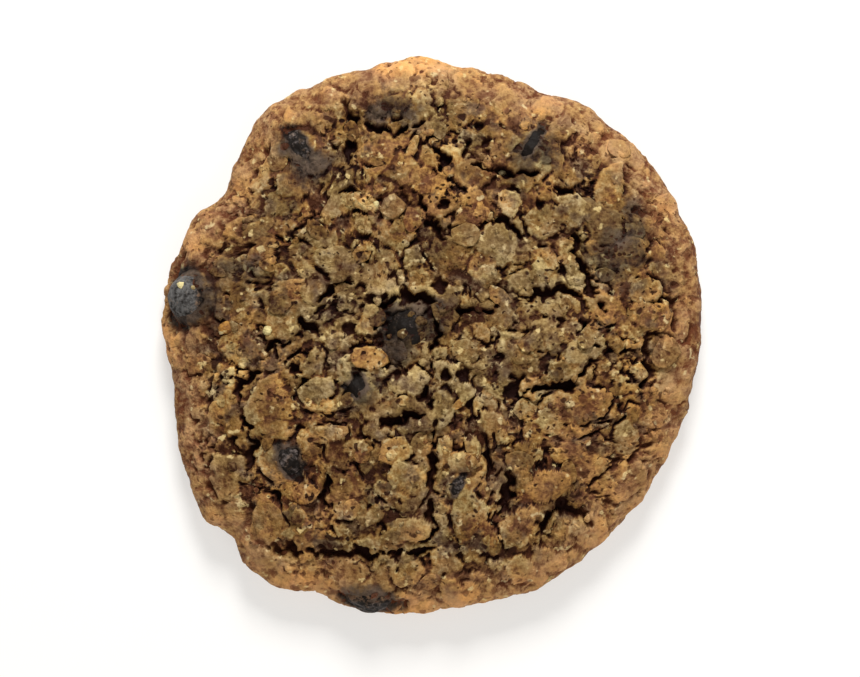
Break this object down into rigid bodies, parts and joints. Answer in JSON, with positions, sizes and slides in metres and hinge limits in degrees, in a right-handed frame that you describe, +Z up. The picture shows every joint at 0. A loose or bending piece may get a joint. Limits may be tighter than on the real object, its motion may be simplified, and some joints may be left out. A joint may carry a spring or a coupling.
{
  "type": "oatmeal chocolate chip cookie",
  "caption": "Round baked oatmeal cookie with a low craggy dome, rolled oat flakes, cracks, chocolate chips that show in its top and side, and a flat underside that it lies on.",
  "frame": {"origin": "on the flat underside, below the middle of the outline", "axes": "+Z up out of the domed top, +Y towards the top of the picture, +X to its right"},
  "size_m": [0.0897, 0.0924, 0.0151],
  "materials": {
    "crumb": "matte baked oat crumb, paler at the rim",
    "chocolate": "satin dark chocolate with a grey bloom"
  },
  "bodies": {
    "root": {"crumb": "crumb", "chip_left_rim": "chocolate", "chip_upper_left": "chocolate", "chip_upper_right": "chocolate", "chip_middle": "chocolate", "chip_inner_left": "chocolate", "chip_lower_left": "chocolate", "chip_lower_middle": "chocolate", "chip_lower_rim": "chocolate"}
  },
  "joints": []
}
